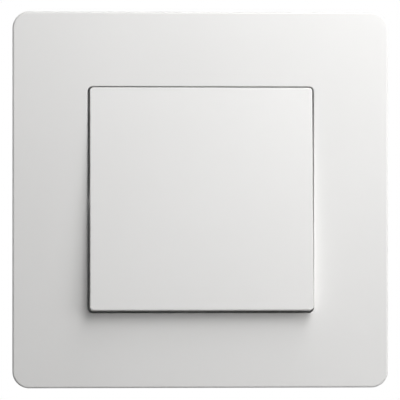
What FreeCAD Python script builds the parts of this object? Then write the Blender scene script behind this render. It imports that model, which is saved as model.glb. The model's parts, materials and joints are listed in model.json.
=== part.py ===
import FreeCAD, Part
import math
import os
import re

import Sketcher
from FreeCAD import Vector

# Flush-mounted push button light switch with a square cover frame and one large rocking push plate.
# x points right as seen from the room, y into the wall and z up. The origin is the centre of the mounting
# plane, where the support ring and the rear rim of the cover frame meet the wall.
# The level of a front sketch is its distance in front of the wall, and a depth is a distance behind it.

doc = FreeCAD.newDocument("push_button_light_switch")
sheet = doc.addObject("Spreadsheet::Sheet", "dims")

# Driving dimensions in millimetres, angles in degrees
SIZES = {
    # cover frame
    "frame_size": 92.0,
    "frame_depth": 9.5,
    "frame_corner": 4.2,
    "frame_edge": 0.5,
    "frame_draft": 0.5,
    "frame_wall": 2.0,
    "opening": 55.3,
    "opening_corner": 1.2,
    "opening_edge": 0.15,
    "collar_wall": 1.4,
    "collar_rear": 4.6,
    "rib_thick": 1.0,
    "rib_depth": 2.0,
    "rib_place": 21.0,
    "bead_width": 4.0,
    "bead_proud": 0.5,
    "bead_step": 0.8,
    "bead_height": 1.0,
    "bead_flank": 0.7,
    # push plate, measured from its pivot
    "rocker_gap": 0.33,
    "side_play": 0.12,
    "rocker_corner": 1.0,
    "rocker_edge": 0.2,
    "rocker_draft": 1.0,
    "rocker_wall": 1.8,
    "rocker_skin": 1.8,
    "rest_tilt": 4.0,
    "face_lead": 4.5,
    "skirt_clear": 0.5,
    "stiffener": 1.0,
    "stiffener_depth": 1.5,
    "stiffener_place": 21.5,
    "hook_x": 12.0,
    "hook_z": 9.0,
    "hook_width": 3.0,
    "hook_thick": 1.2,
    "hook_barb": 0.5,
    "hook_head": 1.4,
    # carrier behind the push plate
    "carrier_width": 31.0,
    "carrier_edge": 4.0,
    "carrier_thick": 1.8,
    "cheek_thick": 1.6,
    "cheek_round": 2.4,
    "pin_dia": 2.6,
    "pin_length": 3.5,
    "nub_dia": 2.4,
    "nub_bevel": 0.6,
    "nub_reach": 3.0,
    "push_inset": 3.0,
    "spring_place": 7.5,
    # support ring
    "ring_edge": 3.0,
    "ring_thick": 1.0,
    "ring_corner": 9.0,
    "slot_offset": 6.4,
    "box_slot_length": 5.0,
    "box_slot_width": 3.6,
    "side_slot_length": 10.0,
    "tongue_place": 15.0,
    "tongue_width": 6.0,
    "tongue_thick": 1.0,
    "tongue_gap": 0.1,
    "tongue_notch": 3.0,
    # bearing cover
    "flange_lip": 0.5,
    "flange_drop": 1.0,
    "cover_chamfer": 6.0,
    "cover_thick": 2.0,
    "plug_chamfer": 5.0,
    "plug_reach": 1.5,
    "lug_gap": 0.5,
    "lug_thick": 3.2,
    "lug_round": 2.3,
    "spring_seat": 0.5,
    # return springs and contact spring
    "return_dia": 5.0,
    "return_wire": 0.5,
    "return_turns": 2.0,
    "opener_dia": 3.2,
    "opener_wire": 0.35,
    "opener_turns": 2.0,
    "opener_place": 4.0,
    # contact plunger
    "plunger_dia": 2.6,
    "plunger_head": 1.2,
    "plunger_head_dia": 4.5,
    "plunger_tip": 0.6,
    "plunger_tip_dia": 0.8,
    # contact lever and contacts
    "lever_space": 3.1,
    "lever_thick": 0.8,
    "lever_width": 4.4,
    "lever_pivot": 8.0,
    "lever_end": 1.2,
    "lever_pin_dia": 1.6,
    "contact_inset": 2.2,
    "contact_dia": 3.4,
    "contact_head": 0.8,
    "fixed_head": 0.75,
    # terminal bars
    "bar_thick": 0.8,
    "bar_inset": 6.0,
    "bar_width": 14.0,
    "tail_width": 7.2,
    "tail_end": 2.1,
    "tab_gap": 0.4,
    "tab_thick": 0.8,
    "tab_edge": 1.5,
    # base housing
    "base_width": 40.0,
    "base_height": 46.0,
    "base_chamfer": 8.0,
    "base_wall": 1.8,
    "floor_thick": 1.5,
    "chamber_depth": 7.5,
    "seat_ledge": 1.0,
    "divider": 1.6,
    "rest_thick": 1.3,
    "boss_width": 6.0,
    "boss_depth": 2.5,
    "boss_reach": 2.4,
    # staked pegs that hold the ring between the base and the bearing cover
    "peg_inset": 2.2,
    "peg_width": 4.0,
    "peg_thick": 1.6,
    "peg_head": 0.8,
    "peg_head_lip": 0.7,
    # terminal cover, clamp springs and release buttons
    "rear_thick": 2.5,
    "snap_width": 6.0,
    "snap_height": 0.8,
    "snap_proud": 0.45,
    "wire_radius": 1.6,
    "wire_place": 4.6,
    "leaf_thick": 0.5,
    "leaf_width": 13.6,
    "leaf_span": 6.45,
    "leaf_rise": 4.5,
    "blade_run": 0.625,
    "button_width": 2.8,
    "button_height": 2.4,
    "button_inset": 2.8,
    "button_proud": 1.5,
    "shoulder_width": 4.4,
    "shoulder_depth": 1.2,
    # claws, their screws and nuts
    "lug_reach": 2.4,
    "claw_depth": 2.0,
    "knuckle_dia": 2.4,
    "claw_lug_round": 1.9,
    "claw_lug_thick": 1.5,
    "claw_width": 9.0,
    "claw_thick": 1.2,
    "claw_length": 18.2,
    "claw_slot": 12.0,
    "claw_tooth": 1.6,
    "screw_offset": 1.2,
    "screw_dia": 3.0,
    "screw_core": 2.5,
    "screw_head": 1.8,
    "screw_head_dia": 5.6,
    "head_bevel": 0.6,
    "recess_width": 0.8,
    "recess_length": 3.4,
    "recess_depth": 1.0,
    "nut_width": 4.8,
    "nut_height": 7.0,
    "nut_thick": 3.5,
    "nut_depth": 13.5,
    "screw_end": 1.0,
    # clearances
    "touch_gap": 0.05,
    "running_gap": 0.05,
    "clip_gap": 0.15,
    "part_gap": 0.2,
    "end_gap": 0.4,
    "stop_gap": 0.3,
}

# Places and sizes that follow from the driving dimensions
RULES = {
    "collar_half": "opening/2 + collar_wall",
    "skin_rear": "frame_depth - frame_wall",
    "bead_rear": "collar_rear + bead_step",
    "rocker_half": "opening/2 - rocker_gap",
    "pivot_height": "frame_depth + rocker_half*sin(rest_tilt) - face_lead*cos(rest_tilt)",
    "skirt_depth": "(pivot_height - ring_thick - skirt_clear - rocker_half*sin(rest_tilt))/cos(rest_tilt)",
    "inner_face": "face_lead - rocker_skin",
    "carrier_rear": "inner_face - carrier_thick",
    "carrier_half": "carrier_width/2",
    "carrier_half_z": "push_place + carrier_edge",
    "tongue_inner": "collar_half + tongue_gap",
    "tongue_top": "skin_rear - stop_gap",
    "cover_front": "ring_thick + cover_thick",
    "lug_inner": "carrier_half + lug_gap",
    "nub_height": "pivot_height - nub_reach*cos(rest_tilt) + push_place*sin(rest_tilt)",
    "push_travel": "2*push_place*sin(rest_tilt)",
    "plunger_top": "nub_height - touch_gap",
    "plunger_seat": "plunger_top - plunger_head - push_travel - clip_gap",
    "lever_front": "plug_reach + lever_space",
    "lever_axis": "lever_front + lever_thick/2",
    "lever_rear": "lever_front + lever_thick",
    "contact_rear": "lever_rear + contact_head",
    "lever_arm": "lever_pivot + push_place",
    "contact_arm": "lever_pivot + contact_place + contact_dia/2",
    "fixed_front": "contact_rear + push_travel*contact_arm/lever_arm + touch_gap",
    "bar_front": "fixed_front + fixed_head",
    "floor_front": "bar_front + bar_thick",
    "floor_rear": "floor_front + floor_thick",
    "rear_front": "floor_rear + chamber_depth",
    "base_depth": "rear_front + rear_thick",
    "room_half_x": "base_width/2 - base_wall",
    "room_half_z": "base_height/2 - base_wall",
    "room_chamfer": "base_chamfer - base_wall*(2 - sqrt(2))",
    "peg_place": "room_half_z - peg_inset",
    "plug_half_x": "room_half_x - part_gap",
    "plug_half_z": "peg_place - boss_reach",
    "bar_place": "room_half_z - bar_inset",
    "contact_place": "bar_place - contact_inset",
    "push_place": "contact_place - push_inset",
    "leaf_place": "bar_place - leaf_span",
    "button_place": "bar_place - button_inset",
    "wire_z": "bar_place - end_gap - wire_radius",
    "leaf_back": "rear_front - end_gap",
    "leaf_tip": "leaf_back - leaf_rise",
    "leaf_top": "bar_place - stop_gap",
    "leaf_slope": "leaf_rise/(leaf_top - leaf_place - leaf_thick)",
    "button_low": "button_place - button_height/2",
    "button_inner": "leaf_back - (button_low - leaf_place - leaf_thick)*leaf_slope + stop_gap",
    "claw_axis": "base_width/2 + lug_reach",
    "claw_screw_x": "claw_axis + screw_offset",
    "box_screw_place": "claw_screw_x + slot_offset",
    "ring_half": "box_screw_place + box_slot_length/2 + ring_edge",
    "claw_lean": "atan((nut_width/2 + screw_offset)/(nut_depth - claw_depth))",
    "claw_inner": "clip_gap",
    "lug_start": "claw_width/2 + part_gap",
    "lug_end": "lug_start + claw_lug_thick",
    "spring_top": "pivot_height + carrier_rear*cos(rest_tilt) + (push_place - return_dia/2)*sin(rest_tilt)",
}

PLANES = {"front": "XZ_Plane", "side": "YZ_Plane", "top": "XY_Plane"}
SIDES = {"left": "-1", "right": "1"}

for row, (alias, value) in enumerate(SIZES.items(), start=1):
    sheet.set(f"A{row}", alias.replace("_", " "))
    sheet.set(f"B{row}", str(value))
    sheet.setAlias(f"B{row}", alias)
doc.recompute()


def expand(rule):
    """A rule in words as an expression on the sheet's cells."""

    def swap(match):
        word = match.group(0)
        if word in RULES:
            return "(" + expand(RULES[word]) + ")"
        return "dims." + word if word in SIZES else word

    return re.sub(r"[a-z_]+", swap, rule)


def number(rule):
    """The present value of a rule."""
    result = sheet.evalExpression(expand(rule))
    return float(getattr(result, "Value", result))


def place(item, x="0", y="0", z="0", axis=(0, 0, 1), angle="0"):
    """Bind an object's Placement: a point, and a turn in degrees about an axis."""
    base = "; ".join(expand(rule) for rule in (x, y, z))
    along = "; ".join(str(part) for part in axis)
    item.setExpression(
        "Placement",
        f"create(<<placement>>; create(<<vector>>; {base}); "
        f"create(<<rotation>>; create(<<vector>>; {along}); {expand(angle)}))",
    )


def new_body(label):
    """A named body, one sub-part."""
    body = doc.addObject("PartDesign::Body", label)
    body.Label = label
    return body


def sketch(body, name, plane, level="0", right="0", up="0"):
    """A sketch on one of the body's own planes, moved along its normal and within it."""
    made = body.newObject("Sketcher::SketchObject", name)
    role = PLANES[plane]
    made.AttachmentSupport = [(next(f for f in body.Origin.OriginFeatures if f.Role == role), "")]
    made.MapMode = "FlatFace"
    for axis, rule in (("x", right), ("y", up), ("z", level)):
        made.setExpression("AttachmentOffset.Base." + axis, expand(rule))
    return made


def bind(drawing, constraint, rule):
    """Add a dimension and tie it to its rule."""
    index = drawing.addConstraint(constraint)
    drawing.setExpression(f"Constraints[{index}]", expand(rule))


def pin_point(drawing, item, end, x, y):
    """Dimension one point of a curve from the sketch's origin."""
    bind(drawing, Sketcher.Constraint("DistanceX", -1, 1, item, end, number(x)), x)
    bind(drawing, Sketcher.Constraint("DistanceY", -1, 1, item, end, number(y)), y)


def line(drawing, start, end):
    """A straight edge between two points."""
    return drawing.addGeometry(Part.LineSegment(start, end), False)


def polygon(drawing, *corners):
    """A closed outline through corners given as pairs of rules."""
    points = [Vector(number(x), number(y), 0) for x, y in corners]
    count = len(points)
    items = [line(drawing, points[i], points[(i + 1) % count]) for i in range(count)]
    for i in range(count):
        drawing.addConstraint(Sketcher.Constraint("Coincident", items[i], 2, items[(i + 1) % count], 1))
    for item, (x, y) in zip(items, corners):
        pin_point(drawing, item, 1, x, y)


def rectangle(drawing, x_low, x_high, y_low, y_high):
    """A rectangle from its four sides."""
    polygon(drawing, (x_low, y_low), (x_high, y_low), (x_high, y_high), (x_low, y_high))


def block(drawing, half_x, half_y, y="0"):
    """A rectangle about a centre on the sketch's second axis."""
    rectangle(drawing, f"-({half_x})", half_x, f"{y} - ({half_y})", f"{y} + ({half_y})")


def bevelled(drawing, half_x, half_y, cut):
    """A centred rectangle with its corners cut off."""
    near_x = f"({half_x} - ({cut}))"
    near_y = f"({half_y} - ({cut}))"
    polygon(
        drawing,
        (near_x, f"-({half_y})"),
        (half_x, f"-{near_y}"),
        (half_x, near_y),
        (near_x, half_y),
        (f"-{near_x}", half_y),
        (f"-({half_x})", near_y),
        (f"-({half_x})", f"-{near_y}"),
        (f"-{near_x}", f"-({half_y})"),
    )


def circle(drawing, x, y, radius):
    """A full circle."""
    ring = Part.Circle(Vector(number(x), number(y), 0), Vector(0, 0, 1), number(radius))
    item = drawing.addGeometry(ring, False)
    bind(drawing, Sketcher.Constraint("Radius", item, number(radius)), radius)
    pin_point(drawing, item, 3, x, y)


def rounded_loop(drawing, centres, radius):
    """A closed outline of equal arcs about the centres, in order, joined by tangent lines."""
    count = len(centres)
    reach = number(radius)
    points = [Vector(number(x), number(y), 0) for x, y in centres]
    turn = 2 * math.pi / count
    first = math.atan2(points[0].y - points[-1].y, points[0].x - points[-1].x) - math.pi / 2
    arcs = []
    for i, point in enumerate(points):
        start = first + turn * i
        ring = Part.Circle(point, Vector(0, 0, 1), reach)
        arcs.append(drawing.addGeometry(Part.ArcOfCircle(ring, start, start + turn), False))
    for i in range(count):
        here = arcs[i]
        after = arcs[(i + 1) % count]
        joint = line(drawing, drawing.Geometry[here].EndPoint, drawing.Geometry[after].StartPoint)
        drawing.addConstraint(Sketcher.Constraint("Tangent", here, 2, joint, 1))
        drawing.addConstraint(Sketcher.Constraint("Tangent", joint, 2, after, 1))
    bind(drawing, Sketcher.Constraint("Radius", arcs[0], reach), radius)
    for item in arcs[1:]:
        drawing.addConstraint(Sketcher.Constraint("Equal", arcs[0], item))
    for item, (x, y) in zip(arcs, centres):
        pin_point(drawing, item, 3, x, y)


def rounded(drawing, half_x, half_y, radius, x="0", y="0"):
    """A rectangle with round corners about a centre."""
    left, right = f"{x} - ({half_x} - ({radius}))", f"{x} + ({half_x} - ({radius}))"
    low, high = f"{y} - ({half_y} - ({radius}))", f"{y} + ({half_y} - ({radius}))"
    rounded_loop(drawing, [(right, low), (right, high), (left, high), (left, low)], radius)


def slot(drawing, x, y, length, width):
    """A slot along the sketch's first axis, with round ends."""
    half = f"({length} - {width})/2"
    rounded_loop(drawing, [(f"{x} + {half}", y), (f"{x} - {half}", y)], f"{width}/2")


def arch(drawing, x, y, radius, end):
    """A half circle about a point with two straight legs along the sketch's first axis to an end line."""
    centre = Vector(number(x), number(y), 0)
    reach = number(radius)
    foot = number(end)
    towards = 1 if foot > centre.x else -1
    ring = Part.Circle(centre, Vector(0, 0, 1), reach)
    start = math.pi / 2 if towards > 0 else -math.pi / 2
    arc = drawing.addGeometry(Part.ArcOfCircle(ring, start, start + math.pi), False)
    below = centre + Vector(0, -reach * towards, 0)
    above = centre + Vector(0, reach * towards, 0)
    leg = line(drawing, below, Vector(foot, below.y, 0))
    close = line(drawing, Vector(foot, below.y, 0), Vector(foot, above.y, 0))
    back = line(drawing, Vector(foot, above.y, 0), above)
    drawing.addConstraint(Sketcher.Constraint("Tangent", arc, 2, leg, 1))
    drawing.addConstraint(Sketcher.Constraint("Coincident", leg, 2, close, 1))
    drawing.addConstraint(Sketcher.Constraint("Coincident", close, 2, back, 1))
    drawing.addConstraint(Sketcher.Constraint("Tangent", back, 2, arc, 1))
    drawing.addConstraint(Sketcher.Constraint("Horizontal", leg))
    drawing.addConstraint(Sketcher.Constraint("Horizontal", back))
    drawing.addConstraint(Sketcher.Constraint("Vertical", close))
    bind(drawing, Sketcher.Constraint("Radius", arc, reach), radius)
    pin_point(drawing, arc, 3, x, y)
    bind(drawing, Sketcher.Constraint("DistanceX", -1, 1, close, 1, foot), end)


def feature(kind, drawing, name, length, reverse=False, taper=None):
    """A pad or a pocket of a sketch."""
    made = drawing.getParentGeoFeatureGroup().newObject("PartDesign::" + kind, name)
    made.Profile = drawing
    made.setExpression("Length", expand(length))
    made.Reversed = reverse
    if taper:
        made.setExpression("TaperAngle", expand(taper))
    return made


def pad(drawing, name, length, **options):
    """Material along the sketch's normal: to the front, to the right or up."""
    return feature("Pad", drawing, name, length, **options)


def pocket(drawing, name, length, **options):
    """A cut against the sketch's normal: to the rear, to the left or down."""
    return feature("Pocket", drawing, name, length, **options)


def revolve(drawing, name, axis):
    """A solid of revolution about one of the sketch's own axes."""
    made = drawing.getParentGeoFeatureGroup().newObject("PartDesign::Revolution", name)
    made.Profile = drawing
    made.ReferenceAxis = (drawing, [axis])
    made.Angle = 360
    return made


def dress(body, kind, name, size, chosen):
    """Round or bevel the edges that a test on each edge's box chooses."""
    doc.recompute()
    base = body.Tip
    edges = [f"Edge{i}" for i, edge in enumerate(base.Shape.Edges, start=1) if chosen(edge.BoundBox)]
    made = body.newObject("PartDesign::" + kind, name)
    made.Base = (base, edges)
    made.setExpression("Radius" if kind == "Fillet" else "Size", expand(size))


def at_level(box, level):
    """Whether an edge lies at this level in front of its body's origin."""
    return abs(box.YMin + number(level)) < 1e-4 and abs(box.YMax + number(level)) < 1e-4


def pattern_round(body, name, source, count):
    """Copies of a feature round the body's y axis."""
    made = body.newObject("PartDesign::PolarPattern", name)
    made.Originals = [source]
    made.Axis = (next(f for f in body.Origin.OriginFeatures if f.Role == "Y_Axis"), [""])
    made.Angle = 360
    made.Occurrences = count
    body.Tip = made


def make_cover_frame():
    """Square frame with drafted sides, hollow behind, and a collar round the opening."""
    body = new_body("cover_frame")
    outline = sketch(body, "frame_outline", "front")
    rounded(outline, "frame_size/2", "frame_size/2", "frame_corner")
    pad(outline, "frame_block", "frame_depth", taper="-frame_draft")
    dress(body, "Fillet", "frame_front_edge", "frame_edge", lambda box: at_level(box, "frame_depth"))
    hollow = sketch(body, "frame_hollow", "front")
    inner = "frame_size/2 - frame_wall"
    block(hollow, inner, inner)
    block(hollow, "collar_half", "collar_half")
    pocket(hollow, "frame_back", "skin_rear", reverse=True, taper="-frame_draft")
    step = sketch(body, "collar_step", "front")
    block(step, "collar_half + part_gap", "collar_half + part_gap")
    pocket(step, "collar_rear_cut", "collar_rear", reverse=True)
    window = sketch(body, "opening_outline", "front", "frame_depth")
    rounded(window, "opening/2", "opening/2", "opening_corner")
    pocket(window, "frame_opening", "frame_depth")
    dress(
        body,
        "Chamfer",
        "opening_front_edge",
        "opening_edge",
        lambda box: at_level(box, "frame_depth")
        and max(box.XMax, -box.XMin, box.ZMax, -box.ZMin) < number("collar_half"),
    )
    ribs = sketch(body, "rib_pair", "front", "skin_rear - rib_depth")
    for sign in ("1", "-1"):
        middle = f"{sign}*rib_place"
        rectangle(
            ribs,
            "collar_half - part_gap",
            "frame_size/2 - frame_wall/2",
            f"{middle} - rib_thick/2",
            f"{middle} + rib_thick/2",
        )
    rib_pads = pad(ribs, "rib_pads", "rib_depth + part_gap")
    pattern_round(body, "ribs_round", rib_pads, 4)
    for side, sign in SIDES.items():
        bead = sketch(body, f"{side}_bead", "side", f"{sign}*tongue_place - bead_width/2")
        for up in ("1", "-1"):
            polygon(
                bead,
                ("-bead_rear", f"{up}*(collar_half - part_gap)"),
                ("-bead_rear", f"{up}*collar_half"),
                ("-bead_rear - bead_flank", f"{up}*(collar_half + bead_proud)"),
                ("-bead_rear - bead_height", f"{up}*(collar_half + bead_proud)"),
                ("-bead_rear - bead_height", f"{up}*(collar_half - part_gap)"),
            )
        pad(bead, f"{side}_beads", "bead_width")
    return body


def make_rocker():
    """Shallow drafted tray with clip hooks, tilted to rest with its foot out, at the right end of its side play."""
    body = new_body("rocker")
    outline = sketch(body, "skirt_outline", "front", "-skirt_depth")
    rounded(outline, "rocker_half", "rocker_half", "rocker_corner")
    pad(outline, "plate_block", "skirt_depth + face_lead", taper="-rocker_draft")
    dress(body, "Fillet", "plate_edge", "rocker_edge", lambda box: at_level(box, "face_lead"))
    hollow = sketch(body, "plate_hollow", "front", "-skirt_depth")
    inner = "rocker_half - rocker_wall"
    block(hollow, inner, inner)
    pocket(hollow, "plate_back", "skirt_depth + inner_face", reverse=True, taper="-rocker_draft")
    ribs = sketch(body, "plate_ribs", "front", "inner_face - stiffener_depth")
    for sign in ("1", "-1"):
        middle = f"{sign}*stiffener_place"
        rectangle(
            ribs, f"{middle} - stiffener/2", f"{middle} + stiffener/2", f"-({inner})", inner
        )
    pad(ribs, "plate_stiffeners", "stiffener_depth + part_gap")
    for side, sign in SIDES.items():
        for end, up in (("upper", "1"), ("lower", "-1")):
            hook = sketch(body, f"{end}_{side}_hook", "side", f"{sign}*hook_x - hook_width/2")
            polygon(
                hook,
                ("-inner_face - part_gap", f"{up}*hook_z"),
                ("-carrier_rear + hook_head", f"{up}*hook_z"),
                ("-carrier_rear + hook_head", f"{up}*(hook_z + hook_thick)"),
                ("-carrier_rear + touch_gap", f"{up}*(hook_z + hook_thick + hook_barb)"),
                ("-carrier_rear + touch_gap", f"{up}*(hook_z + hook_thick)"),
                ("-inner_face - part_gap", f"{up}*(hook_z + hook_thick)"),
            )
            pad(hook, f"{end}_{side}_clip", "hook_width")
    place(body, x="side_play", y="-pivot_height", axis=(1, 0, 0), angle="-rest_tilt")
    return body


def make_carrier():
    """Clip-in plate behind the push plate with two cheeks, trunnion pins and a nub over the plunger."""
    body = new_body("rocker_carrier")
    outline = sketch(body, "carrier_outline", "front", "carrier_rear")
    block(outline, "carrier_half", "carrier_half_z")
    for sign in SIDES.values():
        for up in ("1", "-1"):
            rectangle(
                outline,
                f"{sign}*hook_x - hook_width/2 - clip_gap",
                f"{sign}*hook_x + hook_width/2 + clip_gap",
                f"{up}*(hook_z - hook_barb - clip_gap)",
                f"{up}*(hook_z + hook_thick + clip_gap)",
            )
    pad(outline, "carrier_plate", "carrier_thick")
    for side, sign in SIDES.items():
        start = "carrier_half - cheek_thick" if side == "right" else "-carrier_half"
        cheek = sketch(body, f"{side}_cheek_outline", "side", start)
        arch(cheek, "0", "0", "cheek_round", "-carrier_rear - part_gap")
        pad(cheek, f"{side}_cheek", "cheek_thick")
        start = "carrier_half - part_gap" if side == "right" else "-carrier_half - pin_length"
        trunnion = sketch(body, f"{side}_pin_outline", "side", start)
        circle(trunnion, "0", "0", "pin_dia/2")
        pad(trunnion, f"{side}_pin", "pin_length + part_gap")
    nub = sketch(body, "nub_outline", "front", "-nub_reach")
    circle(nub, "0", "-push_place", "nub_dia/2")
    pad(nub, "nub", "nub_reach + carrier_rear + part_gap")
    dress(body, "Chamfer", "nub_end", "nub_bevel", lambda box: at_level(box, "-nub_reach"))
    place(body, y="-pivot_height", axis=(1, 0, 0), angle="-rest_tilt")
    return body


def peg_hole(drawing, up):
    """The hole for one staked peg."""
    block(drawing, "peg_width/2 + running_gap", "peg_thick/2 + running_gap", f"{up}*peg_place")


def make_support_ring():
    """Stamped steel ring with a cut-out for the insert, screw slots and four bent-up spring tongues."""
    body = new_body("support_ring")
    blank = sketch(body, "ring_blank", "front")
    rounded(blank, "ring_half", "ring_half", "ring_corner")
    bevelled(blank, "plug_half_x + part_gap", "plug_half_z + part_gap", "plug_chamfer - part_gap")
    for sign in ("1", "-1"):
        slot(blank, f"{sign}*box_screw_place", "0", "box_slot_length", "box_slot_width")
        block(blank, "side_slot_length/2", "box_slot_width/2", f"{sign}*box_screw_place")
        circle(blank, f"{sign}*claw_screw_x", "0", "screw_dia/2 + part_gap")
        peg_hole(blank, sign)
        for up in ("1", "-1"):
            rectangle(
                blank,
                f"{sign}*tongue_place - tongue_width/2",
                f"{sign}*tongue_place + tongue_width/2",
                f"{up}*(tongue_inner + tongue_thick)",
                f"{up}*(tongue_inner + tongue_thick + tongue_notch)",
            )
    pad(blank, "ring_plate", "ring_thick")
    tongues = sketch(body, "tongue_outlines", "front", "ring_thick/2")
    for sign in ("1", "-1"):
        for up in ("1", "-1"):
            rectangle(
                tongues,
                f"{sign}*tongue_place - tongue_width/2",
                f"{sign}*tongue_place + tongue_width/2",
                f"{up}*tongue_inner",
                f"{up}*(tongue_inner + tongue_thick)",
            )
    pad(tongues, "tongues", "tongue_top - ring_thick/2")
    for end, level in (
        ("upper", "tongue_inner + tongue_thick + part_gap"),
        ("lower", "-tongue_inner + part_gap"),
    ):
        windows = sketch(body, f"{end}_window_outlines", "top", level)
        for sign in SIDES.values():
            rectangle(
                windows,
                f"{sign}*tongue_place - bead_width/2 - stop_gap",
                f"{sign}*tongue_place + bead_width/2 + stop_gap",
                "-bead_rear - bead_height - part_gap",
                "-bead_rear + part_gap",
            )
        pocket(windows, f"{end}_windows", "tongue_thick + part_gap*2")
    return body


def make_bearing_cover():
    """Moulded front cover: a flange on the ring, a plug through it and two lugs that hold the trunnions."""
    body = new_body("bearing_cover")
    flange = sketch(body, "flange_outline", "front", "ring_thick")
    bevelled(flange, "base_width/2 + flange_lip", "base_height/2 - flange_drop", "cover_chamfer")
    for up in ("1", "-1"):
        peg_hole(flange, up)
    pad(flange, "flange", "cover_thick")
    plug = sketch(body, "plug_outline", "front", "-plug_reach")
    bevelled(plug, "plug_half_x", "plug_half_z", "plug_chamfer")
    pad(plug, "plug", "plug_reach + ring_thick + part_gap")
    for side in SIDES:
        start = "lug_inner" if side == "right" else "-lug_inner - lug_thick"
        lug = sketch(body, f"{side}_lug_outline", "side", start)
        arch(lug, "-pivot_height", "0", "lug_round", "-cover_front + part_gap")
        circle(lug, "-pivot_height", "0", "pin_dia/2 + running_gap")
        pad(lug, f"{side}_lug", "lug_thick")
    seat = sketch(body, "plunger_seat_outline", "front", "cover_front")
    half_seat = "plunger_head_dia/2 + part_gap"
    block(seat, half_seat, half_seat, "-push_place")
    pocket(seat, "plunger_seat", "cover_front - (plunger_seat)")
    guide = sketch(body, "guide_outline", "front", "cover_front")
    circle(guide, "0", "-push_place", "plunger_dia/2 + running_gap")
    pocket(guide, "guide_bore", "cover_front + plug_reach")
    wells = sketch(body, "well_outlines", "front", "cover_front")
    for sign in SIDES.values():
        circle(wells, f"{sign}*spring_place", "-push_place", "return_dia/2 + stop_gap")
    pocket(wells, "spring_wells", "cover_front - spring_seat")
    return body


def make_base_housing():
    """Moulded switch base: contact room in front, terminal chambers behind, claw lugs at the sides."""
    body = new_body("base_housing")
    outline = sketch(body, "base_outline", "front", "-(base_depth)")
    bevelled(outline, "base_width/2", "base_height/2", "base_chamfer")
    pad(outline, "base_block", "base_depth")
    room = sketch(body, "room_outline", "front")
    bevelled(room, "room_half_x", "room_half_z", "room_chamfer")
    pocket(room, "contact_room", "floor_front")
    seat = sketch(body, "seat_outline", "front", "-(base_depth)")
    bevelled(seat, "room_half_x", "room_half_z", "room_chamfer")
    pocket(seat, "cover_seat", "rear_thick", reverse=True)
    chamber = sketch(body, "chamber_outline", "front", "-(base_depth)")
    bevelled(chamber, "room_half_x - seat_ledge", "room_half_z - seat_ledge", "room_chamfer")
    pocket(chamber, "terminal_chamber", "rear_thick + chamber_depth", reverse=True)
    slots = sketch(body, "bar_slot_outlines", "front", "-(floor_front)")
    for up in ("1", "-1"):
        rectangle(
            slots,
            "-bar_width/2 - clip_gap",
            "bar_width/2 + clip_gap",
            f"{up}*(bar_place - clip_gap)",
            f"{up}*(bar_place + bar_thick + clip_gap)",
        )
    pocket(slots, "bar_slots", "floor_thick")
    walls = sketch(body, "divider_outline", "front", "-(rear_front)")
    rectangle(walls, "-(room_half_x)", "room_half_x", "-divider/2", "divider/2")
    pad(walls, "divider_wall", "chamber_depth + part_gap")
    rests = sketch(body, "rest_outlines", "front", "-(leaf_back) + base_wall")
    for up in ("1", "-1"):
        rectangle(
            rests, "-leaf_width/2", "leaf_width/2", f"{up}*(leaf_place - rest_thick)", f"{up}*leaf_place"
        )
    pad(rests, "leaf_rests", "leaf_back - base_wall - floor_rear + part_gap")
    bosses = sketch(body, "boss_outlines", "front", "-boss_depth")
    for up in ("1", "-1"):
        rectangle(
            bosses,
            "-boss_width/2",
            "boss_width/2",
            f"{up}*(plug_half_z + stop_gap)",
            f"{up}*(room_half_z + part_gap)",
        )
    pad(bosses, "peg_bosses", "boss_depth")
    pegs = sketch(body, "peg_outlines", "front", "-part_gap")
    heads = sketch(body, "peg_head_outlines", "front", "cover_front")
    for up in ("1", "-1"):
        block(pegs, "peg_width/2", "peg_thick/2", f"{up}*peg_place")
        block(heads, "peg_width/2 + peg_head_lip", "peg_thick/2 + peg_head_lip", f"{up}*peg_place")
    pad(pegs, "pegs", "cover_front + peg_head/2 + part_gap")
    pad(heads, "staked_heads", "peg_head")
    for side, sign in SIDES.items():
        for end, level in (("upper", "lug_start"), ("lower", "-(lug_end)")):
            lug = sketch(body, f"{end}_{side}_lug_outline", "top", level)
            arch(lug, f"{sign}*claw_axis", "claw_depth", "claw_lug_round", f"{sign}*(base_width/2 - part_gap)")
            circle(lug, f"{sign}*claw_axis", "claw_depth", "knuckle_dia/2 + running_gap")
            pad(lug, f"{end}_{side}_claw_lug", "claw_lug_thick")
    for end, level in (("upper", "base_height/2 + part_gap"), ("lower", "-(room_half_z) + part_gap")):
        catch = sketch(body, f"{end}_catch_outline", "top", level)
        rectangle(
            catch,
            "-snap_width/2 - part_gap",
            "snap_width/2 + part_gap",
            "base_depth - rear_thick/2 - snap_height/2 - clip_gap",
            "base_depth - rear_thick/2 + snap_height/2 + clip_gap",
        )
        pocket(catch, f"{end}_catch", "base_wall + part_gap*2")
    return body


def make_terminal_cover():
    """Rear plate with four wire entries, two slots for the release buttons and two snap nubs."""
    body = new_body("terminal_cover")
    plate = sketch(body, "rear_outline", "front", "-(base_depth)")
    bevelled(plate, "room_half_x - clip_gap", "room_half_z - clip_gap", "room_chamfer")
    for up in ("1", "-1"):
        for sign in SIDES.values():
            circle(plate, f"{sign}*wire_place", f"{up}*wire_z", "wire_radius")
        rectangle(
            plate,
            "-button_width/2 - clip_gap",
            "button_width/2 + clip_gap",
            f"{up}*(button_low - clip_gap)",
            f"{up}*(button_low + button_height + clip_gap)",
        )
    pad(plate, "rear_plate", "rear_thick")
    nubs = sketch(body, "snap_outlines", "front", "-(base_depth) + rear_thick/2 - snap_height/2")
    for up in ("1", "-1"):
        rectangle(
            nubs,
            "-snap_width/2",
            "snap_width/2",
            f"{up}*(room_half_z - end_gap)",
            f"{up}*(room_half_z - clip_gap + snap_proud)",
        )
    pad(nubs, "snap_nubs", "snap_height")
    return body


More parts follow.
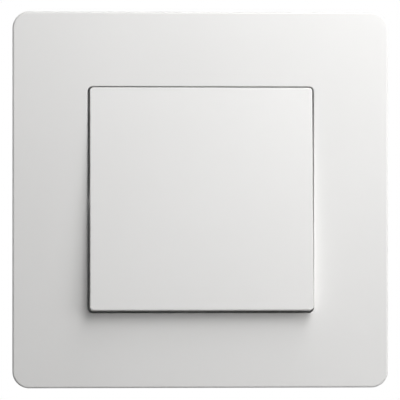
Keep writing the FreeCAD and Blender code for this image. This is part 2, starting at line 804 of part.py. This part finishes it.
def make_coil(label, x, z, level, length, dia, wire, turns):
    """Coil spring along the y axis, a square wire swept along a helix to the front of a level."""
    radius = f"({dia} - {wire})/2"
    path = doc.addObject("Part::Helix", label + "_path")
    path.setExpression("Radius", expand(radius))
    path.setExpression("Height", expand(f"{length} - {wire}"))
    path.setExpression("Pitch", expand(f"({length} - {wire})/{turns}"))
    section = doc.addObject("Part::RegularPolygon", label + "_section")
    section.Polygon = 4
    section.setExpression("Circumradius", expand(f"{wire}/2"))
    place(section, x=radius, axis=(1, 0, 0), angle="90")
    doc.recompute()
    spring = doc.addObject("Part::Sweep", label)
    spring.Label = label
    spring.Sections = [section]
    spring.Spine = (path, ["Edge1"])
    spring.Solid = True
    spring.Frenet = True
    place(spring, x=x, y=f"-({level}) - {wire}/2", z=z, axis=(1, 0, 0), angle="90")
    return spring


def make_plunger():
    """Turned plunger with a wide head under the nub and a cone tip on the contact lever."""
    body = new_body("contact_plunger")
    profile = sketch(body, "plunger_profile", "side", up="-push_place")
    end = "lever_front - touch_gap"
    polygon(
        profile,
        ("-(plunger_top)", "0"),
        ("-(plunger_top)", "plunger_head_dia/2"),
        ("-(plunger_top) + plunger_head", "plunger_head_dia/2"),
        ("-(plunger_top) + plunger_head", "plunger_dia/2"),
        (f"{end} - plunger_tip", "plunger_dia/2"),
        (end, "plunger_tip_dia/2"),
        (end, "0"),
    )
    revolve(profile, "plunger_turned", "H_Axis")
    return body


def make_contact_lever():
    """Brass strip with a cross pin at its upper end, reaching down past the moving contact."""
    body = new_body("contact_lever")
    strip = sketch(body, "lever_outline", "front", "-(lever_rear)")
    block(
        strip,
        "lever_width/2",
        "(lever_pivot + contact_place)/2 + lever_end",
        "(lever_pivot - contact_place)/2",
    )
    pad(strip, "lever_strip", "lever_thick")
    half_pin = "lever_width/2 + tab_gap + tab_thick + part_gap"
    cross_pin = sketch(body, "lever_pin_outline", "side", f"-({half_pin})")
    circle(cross_pin, "lever_axis", "lever_pivot", "lever_pin_dia/2")
    pad(cross_pin, "lever_pin", f"2*({half_pin})")
    return body


def make_contact(label, face, back):
    """Silver disc welded to its carrier, between two depths on the contacts' axis."""
    body = new_body(label)
    disc = sketch(body, label + "_outline", "front", f"-({back})")
    circle(disc, "0", "-contact_place", "contact_dia/2")
    pad(disc, label + "_disc", f"{back} - ({face})")
    return body


def make_terminal_bar(label, up, foot_end):
    """Bent brass bar: a leg on the floor of the contact room and a clamp leg through the floor."""
    body = new_body(label)
    tail = sketch(body, label + "_tail_outline", "front", "-(floor_front)")
    rectangle(
        tail, "-tail_width/2", "tail_width/2", f"{up}*({foot_end})", f"{up}*(bar_place + bar_thick)"
    )
    pad(tail, label + "_tail", "bar_thick")
    leg = sketch(body, label + "_leg_outline", "front", "-(rear_front) + end_gap")
    rectangle(
        leg, "-bar_width/2", "bar_width/2", f"{up}*bar_place", f"{up}*(bar_place + bar_thick)"
    )
    pad(leg, label + "_leg", "rear_front - end_gap - bar_front")
    return body


def make_line_terminal_bar():
    """The line bar also has two eyed tabs that carry the contact lever's pin."""
    body = make_terminal_bar("line_terminal_bar", "1", "lever_pivot - tail_end")
    inner = "lever_width/2 + tab_gap"
    for side in SIDES:
        start = inner if side == "right" else f"-({inner} + tab_thick)"
        tab = sketch(body, f"{side}_tab_outline", "side", start)
        rectangle(
            tab,
            "lever_axis - tab_edge",
            "bar_front + bar_thick/2",
            "lever_pivot - tab_edge",
            "lever_pivot + tab_edge",
        )
        circle(tab, "lever_axis", "lever_pivot", "lever_pin_dia/2 + running_gap")
        pad(tab, f"{side}_tab", "tab_thick")
    return body


def make_clamp_spring(label, up):
    """Bent leaf: an anchor leg on its rest and a slanted blade whose edge points at the bar."""
    body = new_body(label)
    profile = sketch(body, label + "_profile", "side", "-leaf_width/2")
    upper = "leaf_place + leaf_thick"
    polygon(
        profile,
        ("floor_rear + part_gap", f"{up}*leaf_place"),
        ("leaf_back", f"{up}*leaf_place"),
        ("leaf_back", f"{up}*({upper})"),
        ("leaf_tip", f"{up}*(leaf_top)"),
        ("leaf_tip - blade_run", f"{up}*(leaf_top)"),
        ("leaf_back - blade_run", f"{up}*({upper})"),
        ("floor_rear + part_gap", f"{up}*({upper})"),
    )
    pad(profile, label + "_leaf", "leaf_width")
    return body


def make_release_button(label, up):
    """Small push rod through the terminal cover, kept in by a shoulder, its inner end over the blade."""
    body = new_body(label)
    rod = sketch(body, label + "_rod_outline", "front", "-(base_depth) - button_proud")
    block(rod, "button_width/2", "button_height/2", f"{up}*(button_place)")
    pad(rod, label + "_rod", "base_depth + button_proud - button_inner")
    shoulder = sketch(body, label + "_shoulder_outline", "front", "-(rear_front) + touch_gap")
    rectangle(
        shoulder,
        "-shoulder_width/2",
        "shoulder_width/2",
        f"{up}*(button_low)",
        f"{up}*(button_low + button_height)",
    )
    pad(shoulder, label + "_shoulder", "shoulder_depth")
    return body


def make_claw(label, sign):
    """Forked steel claw, built along its blade from the knuckle and leaned out against the nut."""
    body = new_body(label)
    knuckle = sketch(body, label + "_knuckle_outline", "top", "-(lug_end)")
    circle(knuckle, "0", "0", "knuckle_dia/2")
    pad(knuckle, label + "_knuckle", "2*(lug_end)")
    blade = sketch(body, label + "_blade_outline", "top", "-claw_width/2")
    rectangle(
        blade, f"{sign}*claw_inner", f"{sign}*(claw_inner + claw_thick)", "0", "claw_length"
    )
    pad(blade, label + "_blade", "claw_width")
    cuts = sketch(body, label + "_cuts", "side", "knuckle_dia")
    half_slot = "screw_dia/2 + stop_gap"
    rectangle(cuts, "-knuckle_dia", "claw_slot", f"-({half_slot})", half_slot)
    for up in ("1", "-1"):
        polygon(
            cuts,
            ("claw_length - claw_tooth", f"{up}*claw_width/4"),
            ("claw_length + part_gap", f"{up}*(claw_width/4 + claw_tooth/2)"),
            ("claw_length + part_gap", f"{up}*(claw_width/4 - claw_tooth/2)"),
        )
    pocket(cuts, label + "_fork", "2*knuckle_dia")
    place(body, x=f"{sign}*claw_axis", y="claw_depth", angle=f"-({sign})*claw_lean")
    return body


def make_claw_screw(label, sign):
    """Pan head screw through the ring and the claw nut, with a cross recess."""
    body = new_body(label)
    profile = sketch(body, label + "_profile", "top", right=f"{sign}*claw_screw_x")
    head_top = "ring_thick + screw_head"
    end = "nut_depth + nut_thick + screw_end"
    polygon(
        profile,
        ("0", f"-({head_top})"),
        ("screw_head_dia/2 - head_bevel", f"-({head_top})"),
        ("screw_head_dia/2", f"-({head_top} - head_bevel)"),
        ("screw_head_dia/2", "-ring_thick"),
        ("screw_core/2", "-ring_thick"),
        ("screw_core/2", end),
        ("0", end),
    )
    revolve(profile, label + "_turned", "V_Axis")
    recess = sketch(body, label + "_recess_outline", "front", head_top, right=f"{sign}*claw_screw_x")
    wide = "recess_length/2"
    thin = "recess_width/2"
    polygon(
        recess,
        (wide, f"-{thin}"), (wide, thin), (thin, thin),
        (thin, wide), (f"-{thin}", wide), (f"-{thin}", thin),
        (f"-{wide}", thin), (f"-{wide}", f"-{thin}"), (f"-{thin}", f"-{thin}"),
        (f"-{thin}", f"-{wide}"), (thin, f"-{wide}"), (thin, f"-{thin}"),
    )
    pocket(recess, label + "_recess", "recess_depth")
    return body


def make_claw_nut(label, sign):
    """Square nut on the claw screw whose outer front edge bears on the claw."""
    body = new_body(label)
    outline = sketch(body, label + "_outline", "front", "-nut_depth - nut_thick", right=f"{sign}*claw_screw_x")
    block(outline, "nut_width/2", "nut_height/2")
    circle(outline, "0", "0", "screw_core/2 + running_gap")
    pad(outline, label + "_block", "nut_thick")
    return body


nodes = [
    make_cover_frame(),
    make_rocker(),
    make_carrier(),
    make_support_ring(),
    make_bearing_cover(),
    make_base_housing(),
    make_terminal_cover(),
    make_plunger(),
    make_contact_lever(),
    make_contact("moving_contact", "lever_rear", "contact_rear"),
    make_contact("fixed_contact", "fixed_front", "bar_front"),
    make_line_terminal_bar(),
    make_terminal_bar("load_terminal_bar", "-1", "contact_place - tail_end"),
    make_clamp_spring("line_clamp_spring", "1"),
    make_clamp_spring("load_clamp_spring", "-1"),
    make_release_button("line_release_button", "1"),
    make_release_button("load_release_button", "-1"),
    make_coil(
        "contact_spring",
        "0",
        "-opener_place",
        "-(floor_front)",
        "floor_front - lever_rear - touch_gap",
        "opener_dia",
        "opener_wire",
        "opener_turns",
    ),
]
for side, sign in SIDES.items():
    nodes.append(
        make_coil(
            f"{side}_return_spring",
            f"{sign}*spring_place",
            "-push_place",
            "spring_seat",
            "spring_top - spring_seat - touch_gap",
            "return_dia",
            "return_wire",
            "return_turns",
        )
    )
    nodes.append(make_claw(f"{side}_claw", sign))
    nodes.append(make_claw_screw(f"{side}_claw_screw", sign))
    nodes.append(make_claw_nut(f"{side}_claw_nut", sign))

doc.recompute()

failed = [item.Label for item in doc.Objects if {"Invalid", "Error"} & set(item.State)]
if failed:
    raise SystemExit(f"these objects failed to recompute: {failed}")
for node in nodes:
    if node.Shape.isNull() or not node.Shape.isValid():
        raise SystemExit(f"{node.Label} has no valid shape")

os.makedirs("parts", exist_ok=True)
for node in nodes:
    node.Shape.exportStep(f"parts/{node.Label}.step")
    print(f"{node.Label}: {len(node.Shape.Solids)} solid, {node.Shape.Volume:.1f} mm3")
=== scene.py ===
import json
import math

import bpy
import numpy as np
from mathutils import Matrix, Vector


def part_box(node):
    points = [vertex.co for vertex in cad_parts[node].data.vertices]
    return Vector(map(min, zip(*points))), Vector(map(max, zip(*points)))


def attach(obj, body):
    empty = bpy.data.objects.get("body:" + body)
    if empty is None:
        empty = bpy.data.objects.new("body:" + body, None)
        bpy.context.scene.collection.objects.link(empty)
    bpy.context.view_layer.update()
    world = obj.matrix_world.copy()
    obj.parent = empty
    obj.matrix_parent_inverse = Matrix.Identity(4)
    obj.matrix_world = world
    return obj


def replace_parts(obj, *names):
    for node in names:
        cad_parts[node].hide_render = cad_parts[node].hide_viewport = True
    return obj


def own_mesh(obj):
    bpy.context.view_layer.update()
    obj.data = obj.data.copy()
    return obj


# Dresses a flush push button light switch: a white cover frame with one large push plate, and behind it
# the galvanised ring, the grey base, brass contacts and steel springs.
# x is right as seen from the room, y runs into the wall and z is up, in metres.

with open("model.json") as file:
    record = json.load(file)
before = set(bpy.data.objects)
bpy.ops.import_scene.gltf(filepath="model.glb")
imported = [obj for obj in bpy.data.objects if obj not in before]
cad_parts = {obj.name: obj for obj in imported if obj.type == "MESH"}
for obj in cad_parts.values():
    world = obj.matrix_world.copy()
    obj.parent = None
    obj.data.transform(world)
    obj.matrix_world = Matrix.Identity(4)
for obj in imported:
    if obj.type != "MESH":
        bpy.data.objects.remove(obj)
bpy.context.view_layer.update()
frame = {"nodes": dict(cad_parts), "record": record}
MM = 0.001
MICRON = 0.000001
WHITE = (1.0, 1.0, 1.0, 1.0)


# Shader maths

def fill(tree, node, sockets):
    """Give a node's sockets their values, or link them."""
    for name, value in sockets.items():
        if isinstance(value, Value):
            tree.links.new(value.socket, node.inputs[name])
        else:
            node.inputs[name].default_value = value


class Value:
    """A socket of a shader tree. Arithmetic on it adds Math nodes."""

    def __init__(self, tree, socket):
        self.tree = tree
        self.socket = socket

    @classmethod
    def made_by(cls, tree, kind, settings, sockets, output=0):
        """An output of a new node, given its type, its settings and the values or links of its sockets."""
        made = tree.nodes.new("ShaderNode" + kind)
        for name, setting in settings.items():
            setattr(made, name, setting)
        fill(tree, made, sockets)
        return cls(tree, made.outputs[output])

    def node(self, kind, settings, sockets, output=0):
        """An output of a new node in this value's tree."""
        return Value.made_by(self.tree, kind, settings, sockets, output)

    def math(self, operation, first, second):
        """One Math node on two values."""
        return self.node("Math", {"operation": operation}, {0: first, 1: second})

    def __add__(self, other):
        return self.math("ADD", self, other)

    def __sub__(self, other):
        return self.math("SUBTRACT", self, other)

    def __rsub__(self, other):
        return self.math("SUBTRACT", other, self)

    def __mul__(self, other):
        return self.math("MULTIPLY", self, other)

    __radd__ = __add__
    __rmul__ = __mul__

    def larger(self, other):
        """The larger of two values."""
        return self.math("MAXIMUM", self, other)

    def scaled(self, stretch):
        """The same place with each axis stretched, for grain that runs one way."""
        return self.node("Mapping", {}, {"Vector": self, "Scale": stretch})

    def noise(self, per_metre, detail=2.0, rough=0.5):
        """Soft noise from 0 to 1 with about so many patches in a metre."""
        sockets = {"Vector": self, "Scale": per_metre, "Detail": detail, "Roughness": rough}
        return self.node("TexNoise", {}, sockets)

    def cells(self, per_metre):
        """A grey of its own for each cell of a random mosaic with about so many cells in a metre."""
        shade = self.node("TexVoronoi", {}, {"Vector": self, "Scale": per_metre}, output="Color")
        return self.node("RGBToBW", {}, {"Color": shade})

    def mix(self, low, high):
        """A colour between two, by this value. Sockets 6 and 7 of a Mix node are its two colours."""
        sockets = {0: self, 6: (*low, 1.0), 7: (*high, 1.0)}
        return self.node("Mix", {"data_type": "RGBA"}, sockets, output=2)

    def bump(self, depth, strength):
        """A normal from this value taken as a height of so many metres."""
        return self.node("Bump", {}, {"Height": self, "Distance": depth, "Strength": strength})


def material(name, paint):
    """A material whose shader takes its sockets from a paint rule on the piece's own coordinates."""
    made = bpy.data.materials.new(name)
    made.use_nodes = True
    tree = made.node_tree
    place = Value.made_by(tree, "TexCoord", {}, {}, output="Object")
    fill(tree, tree.nodes["Principled BSDF"], paint(place))
    return made


# Finishes

def satin_white(place):
    """White moulded plastic with a fine spark-eroded grain and a faint cloudiness."""
    cloud = place.noise(38, detail=3)
    grain = place.noise(2600, detail=2, rough=0.6)
    swirl = place.noise(300, detail=3)
    return {
        "Base Color": cloud.mix((0.80, 0.795, 0.785), (0.83, 0.825, 0.815)),
        "Roughness": 0.36 + 0.07 * cloud + 0.06 * grain,
        "Normal": (grain + 0.5 * swirl).bump(6 * MICRON, strength=0.5),
        "Specular IOR Level": 0.4,
    }


def moulded(low, high, roughness, depth=20 * MICRON):
    """A paint rule for matte technical plastic: flow marks and a fine grain, between two tones."""

    def paint(place):
        flow = place.scaled((1.0, 1.0, 0.35)).noise(140, detail=4, rough=0.6)
        grain = place.noise(1900, detail=3, rough=0.65)
        tone = 0.7 * flow + 0.3 * grain
        return {
            "Base Color": tone.mix(low, high),
            "Roughness": roughness + 0.16 * (grain - 0.5) + 0.08 * (flow - 0.5),
            "Normal": (grain + 0.6 * flow).bump(depth, strength=0.7),
        }

    return paint


def galvanised(place):
    """Dull zinc-coated sheet: a mosaic of pale and dark crystals under fine rolling lines."""
    crystal = place.cells(420)
    fine = place.cells(1300)
    lines = place.scaled((1.0, 1.0, 0.05)).noise(2400)
    tone = 0.55 * crystal + 0.25 * fine + 0.2 * lines
    return {
        "Base Color": tone.mix((0.32, 0.33, 0.34), (0.56, 0.57, 0.58)),
        "Metallic": 1.0,
        "Roughness": 0.38 + 0.18 * crystal + 0.1 * lines,
        "Normal": (0.5 * lines + 0.5 * fine).bump(8 * MICRON, strength=0.5),
    }


def turned_steel(place):
    """Zinc-plated screw steel with fine marks round its axis and a dull bloom."""
    marks = place.scaled((0.2, 1.0, 0.2)).noise(5200)
    bloom = place.noise(700, detail=3)
    return {
        "Base Color": bloom.mix((0.60, 0.58, 0.53), (0.76, 0.75, 0.71)),
        "Metallic": 1.0,
        "Roughness": 0.24 + 0.16 * bloom + 0.1 * marks,
        "Normal": marks.bump(6 * MICRON, strength=0.6),
    }


def drawn_steel(place):
    """Spring steel: grey, with fine draw lines along y and stains."""
    lines = place.scaled((1.0, 0.25, 1.0)).noise(6500)
    stain = place.noise(900, detail=3)
    return {
        "Base Color": stain.mix((0.40, 0.40, 0.41), (0.62, 0.62, 0.63)),
        "Metallic": 1.0,
        "Roughness": 0.22 + 0.18 * stain + 0.08 * lines,
        "Normal": lines.bump(4 * MICRON, strength=0.5),
    }


def rolled_brass(place):
    """Stamped brass strip: rolling lines, and a browner bloom in patches."""
    lines = place.scaled((0.06, 1.0, 1.0)).noise(3600)
    bloom = place.noise(420, detail=4, rough=0.6)
    return {
        "Base Color": bloom.mix((0.86, 0.62, 0.25), (0.62, 0.42, 0.17)),
        "Metallic": 1.0,
        "Roughness": 0.2 + 0.2 * bloom + 0.1 * lines,
        "Normal": lines.bump(6 * MICRON, strength=0.5),
    }


def contact_silver(place):
    """Silver contact faces with a fine matte burr and a grey bloom."""
    burr = place.noise(4200, detail=3, rough=0.6)
    bloom = place.noise(1100, detail=3)
    return {
        "Base Color": bloom.mix((0.70, 0.69, 0.67), (0.90, 0.89, 0.87)),
        "Metallic": 1.0,
        "Roughness": 0.26 + 0.2 * burr,
        "Normal": burr.bump(5 * MICRON, strength=0.6),
    }


FINISHES = {
    "white_plastic": satin_white,
    "carrier_plastic": moulded((0.56, 0.56, 0.54), (0.64, 0.64, 0.62), roughness=0.5),
    "cover_plastic": moulded((0.46, 0.47, 0.47), (0.54, 0.55, 0.55), roughness=0.52),
    "base_plastic": moulded((0.075, 0.08, 0.085), (0.12, 0.125, 0.13), roughness=0.5, depth=30 * MICRON),
    "button_plastic": moulded((0.58, 0.16, 0.012), (0.66, 0.20, 0.02), roughness=0.4),
    "ring_steel": galvanised,
    "screw_steel": turned_steel,
    "spring_steel": drawn_steel,
    "contact_brass": rolled_brass,
    "contact_silver": contact_silver,
}
materials = {slot: material(slot, paint) for slot, paint in FINISHES.items()}
for subpart in frame["record"]["subparts"]:
    node = frame["nodes"][subpart["node"]]
    node.data.materials.clear()
    node.data.materials.append(materials[subpart["material_slot"]])


# Building pieces

CREASE = math.radians(40)


def add_object(name, data):
    """A new object of the scene that shows a mesh, a lamp or a camera."""
    made = bpy.data.objects.new(name, data)
    bpy.context.scene.collection.objects.link(made)
    return made


def piece(name, points, faces, slot, body):
    """A mesh piece in its place, smooth up to the crease angle, with its finish, riding on a body."""
    mesh = bpy.data.meshes.new(name)
    mesh.from_pydata(points, [], faces)
    mesh.polygons.foreach_set("use_smooth", np.ones(len(mesh.polygons), dtype=bool))
    mesh.set_sharp_from_angle(angle=CREASE)
    mesh.materials.append(materials[slot])
    mesh.update()
    made = add_object(name, mesh)
    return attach(made, body)


def tube_faces(rings, sides):
    """Quads between neighbouring closed rings of points, and one cap over each end."""
    i, j = np.meshgrid(np.arange(rings - 1), np.arange(sides), indexing="ij")
    k = (j + 1) % sides
    quads = np.stack([i * sides + j, i * sides + k, (i + 1) * sides + k, (i + 1) * sides + j], axis=-1)
    start = np.arange(sides)[::-1]
    end = np.arange(sides) + (rings - 1) * sides
    return [*quads.reshape(-1, 4).tolist(), start.tolist(), end.tolist()]


def along(path, across, up, outline):
    """Carry an outline along a path: each ring is the path's point plus the outline's two coordinates in the
    two given directions."""
    ring = outline[..., :1] * across[:, None, :] + outline[..., 1:] * up[:, None, :]
    return (path[:, None, :] + ring).reshape(-1, 3)


def unit(vectors):
    """Each row divided by its length."""
    return vectors / np.linalg.norm(vectors, axis=1, keepdims=True)


# Return springs and contact spring

RINGS_A_TURN = 40
WIRE_SIDES = 12
CLOSED_TURNS = 0.8
CLOSED_PITCH = 1.1  # of the wire's thickness
RETURN_COIL = {"radius": 2.5 * MM, "wire": 0.5 * MM, "turns": 5.5, "keep": 0.82}
CONTACT_COIL = {"radius": 1.6 * MM, "wire": 0.35 * MM, "turns": 5.0, "keep": 0.75}


def coil(name, replaced, joint, centre, ends, radius, wire, turns, keep):
    """Coil spring of round wire along y. The angle grows evenly; the height grows slowly over the closed
    turns at each end and evenly between them. A circle is carried along that line. The joint is not
    used."""
    rings = int(turns * RINGS_A_TURN) + 1
    t = np.linspace(0.0, 1.0, rings)
    inward = math.copysign(wire / 2, ends[1] - ends[0])
    first, last = ends[0] + inward, ends[1] - inward
    closed = CLOSED_TURNS / turns
    share = CLOSED_PITCH * wire * CLOSED_TURNS / abs(last - first)
    y = first + (last - first) * np.interp(t, [0, closed, 1 - closed, 1], [0, share, 1 - share, 1])
    angle = 2 * np.pi * turns * t
    outward = np.stack([np.cos(angle), np.zeros_like(t), np.sin(angle)], axis=1)
    axis = np.stack([np.full_like(t, centre[0]), y, np.full_like(t, centre[1])], axis=1)
    path = axis + (radius - wire / 2) * outward
    up = np.cross(unit(np.gradient(path, axis=0)), outward)
    turn = 2 * np.pi * np.arange(WIRE_SIDES) / WIRE_SIDES
    circle = wire / 2 * np.stack([np.cos(turn), np.sin(turn)], axis=1)[None]
    points = along(path, outward, up, circle)
    made = piece(name, points, tube_faces(rings, WIRE_SIDES), "spring_steel", "insert")
    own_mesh(made)
    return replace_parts(made, replaced)


# Clamp leaves

LEAF_THICK = 0.5 * MM
LEAF_BEND = 1.6 * MM  # the bend's reach, from the rear side along the leg and from the knee along the blade
LEAF_KNEE = 0.2 * MM  # from the rear side to the knee, where the leg and the blade would meet
LEAF_TIP_BACK = 4.75 * MM  # from the rear side to the blade's tip
LEAF_TIP_DROP = 0.35 * MM
BEND_POINTS = 13


def leaf(name, up, replaced):
    """Clamp leaf: a line of a straight leg, a round bend and a slanted blade, thickened to a strip and
    carried straight across its width. The bend is a parabola through its two tangents. The blade rises from
    its leg where up is 1, and falls where it is -1."""
    low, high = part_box(replaced)
    leg_start = np.array([low.y, 0.0])
    leg_end = np.array([high.y - LEAF_BEND, 0.0])
    knee = np.array([high.y - LEAF_KNEE, 0.0])
    tip = np.array([high.y - LEAF_TIP_BACK, high.z - low.z - LEAF_TIP_DROP])
    blade_start = knee + LEAF_BEND * (tip - knee) / np.linalg.norm(tip - knee)
    s = np.linspace(0, 1, BEND_POINTS)[:, None]
    bend = (1 - s) ** 2 * leg_end + 2 * s * (1 - s) * knee + s ** 2 * blade_start
    line = np.vstack([leg_start, bend, tip])
    slope = unit(np.gradient(line, axis=0))
    side = LEAF_THICK / 2 * np.stack([-slope[:, 1], slope[:, 0]], axis=1)
    outline = np.vstack([line + side, (line - side)[::-1]])
    foot = low.z if up > 0 else high.z
    stations = np.array([high.x, low.x])[::up]
    x = np.repeat(stations, len(outline))
    y = np.tile(outline[:, 0], 2)
    z = foot + up * (np.tile(outline[:, 1], 2) + LEAF_THICK / 2)
    points = np.stack([x, y, z], axis=1)
    made = piece(name, points, tube_faces(2, len(outline)), "spring_steel", "insert")
    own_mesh(made)
    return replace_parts(made, replaced)


# Threads of the claw screws

THREAD_CORE, THREAD_CREST, THREAD_PITCH = 1.25 * MM, 1.5 * MM, 0.5 * MM
THREAD_ROOT = 0.06 * MM  # how far the thread's base sits in the core
THREAD_FLANK = 0.46  # half the base, of the pitch
THREAD_LEAST_RISE = 0.05  # of the crest, so that no face shrinks to a line
THREAD_RINGS_A_TURN = 28
THREAD_START = 0.6 * MM
THREAD_TIP = 0.3 * MM  # left plain at the screw's end


def thread(name, x, ends, body):
    """Screw thread: a triangle whose base sits in the screw's core, carried along a right-handed helix
    about y. Its crest sinks into the core over the last turn at each end."""
    turns = (ends[1] - ends[0]) / THREAD_PITCH
    t = np.linspace(0.0, 1.0, int(turns * THREAD_RINGS_A_TURN) + 1)
    angle = 2 * np.pi * turns * t
    outward = np.stack([np.sin(angle), np.zeros_like(t), np.cos(angle)], axis=1)
    path = np.stack([np.full_like(t, x), ends[0] + (ends[1] - ends[0]) * t, np.zeros_like(t)], axis=1)
    rise = np.clip(np.minimum(t, 1 - t) * turns, THREAD_LEAST_RISE, 1.0)
    base = np.full_like(t, THREAD_CORE - THREAD_ROOT)
    reach = np.stack([base, THREAD_CORE + (THREAD_CREST - THREAD_CORE) * rise, base], axis=1)
    shift = THREAD_PITCH * np.broadcast_to([THREAD_FLANK, 0.0, -THREAD_FLANK], reach.shape)
    triangle = np.stack([reach, shift], axis=2)
    along_y = np.broadcast_to([0.0, 1.0, 0.0], path.shape)
    points = along(path, outward, along_y, triangle)
    return piece(name, points, tube_faces(len(t), triangle.shape[1]), "screw_steel", body)


# Raised signs on the rear cover: a letter at the line terminals, an arrow at the load terminals and between
# them a gauge as long as the wire is stripped. Outlines are in millimetres, as seen from behind.

MARK_RISE, MARK_ROOT = 0.3 * MM, 0.05 * MM  # out of and into the cover's face
MARK_HEIGHT = 17.8 * MM
LINE_LETTER = [(-1.2, -2.0), (1.2, -2.0), (1.2, -1.35), (-0.55, -1.35), (-0.55, 2.0), (-1.2, 2.0)]
LOAD_ARROW = [
    (-0.33, 2.0), (-0.33, -0.3), (-1.3, -0.3), (0.0, -2.1), (1.3, -0.3), (0.33, -0.3), (0.33, 2.0),
]
STRIP_GAUGE = [
    (-5.5, -1.2), (-5.0, -1.2), (-5.0, -0.25), (5.0, -0.25), (5.0, -1.2), (5.5, -1.2),
    (5.5, 1.2), (5.0, 1.2), (5.0, 0.25), (-5.0, 0.25), (-5.0, 1.2), (-5.5, 1.2),
]


def raised_mark(name, height, outline):
    """Raised sign: a flat outline about a place at the given height on the cover's middle line, carried
    straight out of the cover's face. Seen from behind, right is towards -x."""
    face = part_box("terminal_cover")[1].y
    across, up = MM * np.array(outline).T
    depth = np.array([face - MARK_ROOT, face + MARK_RISE])
    x = np.tile(-across, 2)
    y = np.repeat(depth, len(outline))
    z = np.tile(height + up, 2)
    points = np.stack([x, y, z], axis=1)
    return piece(name, points, tube_faces(2, len(outline)), "cover_plastic", "insert")


# The pieces

raised_mark("line_letter", MARK_HEIGHT, LINE_LETTER)
raised_mark("load_arrow", -MARK_HEIGHT, LOAD_ARROW)
raised_mark("strip_gauge", 0.0, STRIP_GAUGE)
for side in ("left", "right"):
    low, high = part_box(f"{side}_return_spring")
    middle = (low + high) / 2
    coil(
        f"{side}_return_coil", f"{side}_return_spring", "rocker_press",
        centre=(middle.x, middle.z), ends=(high.y, low.y), **RETURN_COIL,
    )
    low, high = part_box(f"{side}_claw_screw")
    ends = (THREAD_START, high.y - THREAD_TIP)
    thread(f"{side}_claw_thread", (low.x + high.x) / 2, ends, f"{side}_screw")
low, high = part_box("contact_spring")
coil(
    "contact_coil", "contact_spring", "contact_close",
    centre=(0.0, (low.z + high.z) / 2), ends=(high.y, low.y), **CONTACT_COIL,
)
leaf("line_clamp_leaf", 1, "line_clamp_spring")
leaf("load_clamp_leaf", -1, "load_clamp_spring")


# White studio: world and floor

AMBIENT = 0.03
FLOOR_Z = -0.095
FLOOR_HALF = 0.8
FLOOR_TINT = (0.7, 0.7, 0.7)  # as it is shown
BOUNCE_TINT = (0.25, 0.25, 0.25)  # as it lights the switch
FLOOR_ROUGHNESS = 0.9
FLOOR_GLOW = 0.85  # share of plain white in what is shown


def backdrop_white(tree):
    """1 for a ray that shows the background itself: from the camera, a reflection or glass."""
    camera_ray, glossy_ray, transmission_ray = [
        Value.made_by(tree, "LightPath", {}, {}, output=f"Is {kind} Ray")
        for kind in ("Camera", "Glossy", "Transmission")
    ]
    return camera_ray.larger(glossy_ray).larger(transmission_ray)


def white_world():
    """A world that shows white and gives the switch only a little light."""
    world = bpy.data.worlds.new("studio")
    world.use_nodes = True
    tree = world.node_tree
    strength = AMBIENT + (1 - AMBIENT) * backdrop_white(tree)
    fill(tree, tree.nodes["Background"], {"Color": WHITE, "Strength": strength})
    return world


def pale_floor():
    """A floor that shows white with a soft shadow, bounces little light and is clear from below."""
    made = bpy.data.materials.new("pale_floor")
    made.use_nodes = True
    tree = made.node_tree
    shown = backdrop_white(tree)
    shader = tree.nodes["Principled BSDF"]
    fill(tree, shader, {"Roughness": FLOOR_ROUGHNESS, "Base Color": shown.mix(BOUNCE_TINT, FLOOR_TINT)})
    paint = Value(tree, shader.outputs["BSDF"])
    glow = shown.node("Emission", {}, {"Color": WHITE})
    paper = shown.node("MixShader", {}, {0: FLOOR_GLOW * shown, 1: paint, 2: glow})
    below = shown.node("NewGeometry", {}, {}, output="Backfacing")
    clear = shown.node("BsdfTransparent", {}, {})
    one_sided = shown.node("MixShader", {}, {0: below, 1: paper, 2: clear})
    fill(tree, tree.nodes["Material Output"], {"Surface": one_sided})
    return made


bpy.context.scene.world = white_world()
corners = FLOOR_HALF * np.array([[-1, -1, 0], [1, -1, 0], [1, 1, 0], [-1, 1, 0]])
corners[:, 2] = FLOOR_Z
floor_mesh = bpy.data.meshes.new("floor")
floor_mesh.from_pydata(corners, [], [[0, 1, 2, 3]])
floor_mesh.materials.append(pale_floor())
add_object("floor", floor_mesh)


# Lamps

def softbox(name, place, watts, size):
    """A square area lamp at a place, turned to the switch."""
    lamp = bpy.data.lights.new(name, "AREA")
    lamp.energy = watts
    lamp.size = size
    made = add_object(name, lamp)
    made.location = place
    made.rotation_euler = (-made.location).to_track_quat("-Z", "Y").to_euler()
    made.visible_camera = False


softbox("top_softbox", (0.1, -0.13, 0.25), watts=0.354, size=0.16)
softbox("front_softbox", (0.1, -0.3, 0.2), watts=0.78, size=0.2)
softbox("side_softbox", (0.28, -0.2, 0.03), watts=0.37, size=0.2)
softbox("rear_softbox", (-0.33, 0.42, 0.16), watts=1.3, size=0.35)
softbox("rear_fill", (0.4, 0.35, 0.05), watts=0.7, size=0.3)


# Camera: straight in front, a little to the left and below

SENSOR_WIDTH, LENS = 36.0, 291.5  # millimetres
CLIP_START = 0.01
CAMERA_DISTANCE = 0.8
CAMERA_SIDE, CAMERA_RISE = math.radians(-2.8), math.radians(-0.3)
CAMERA_SHIFT = 0.27 * MM  # centres the frame in the picture

camera_data = bpy.data.cameras.new("camera")
camera_data.sensor_width = SENSOR_WIDTH
camera_data.lens = LENS
camera_data.clip_start = CLIP_START
camera = add_object("camera", camera_data)
camera.location = (
    CAMERA_DISTANCE * math.sin(CAMERA_SIDE) * math.cos(CAMERA_RISE) + CAMERA_SHIFT,
    -CAMERA_DISTANCE * math.cos(CAMERA_SIDE) * math.cos(CAMERA_RISE),
    CAMERA_DISTANCE * math.sin(CAMERA_RISE),
)
camera.rotation_euler = (math.pi / 2 - CAMERA_RISE, 0.0, CAMERA_SIDE)
bpy.context.scene.camera = camera
bpy.context.scene.view_settings.view_transform = "Standard"
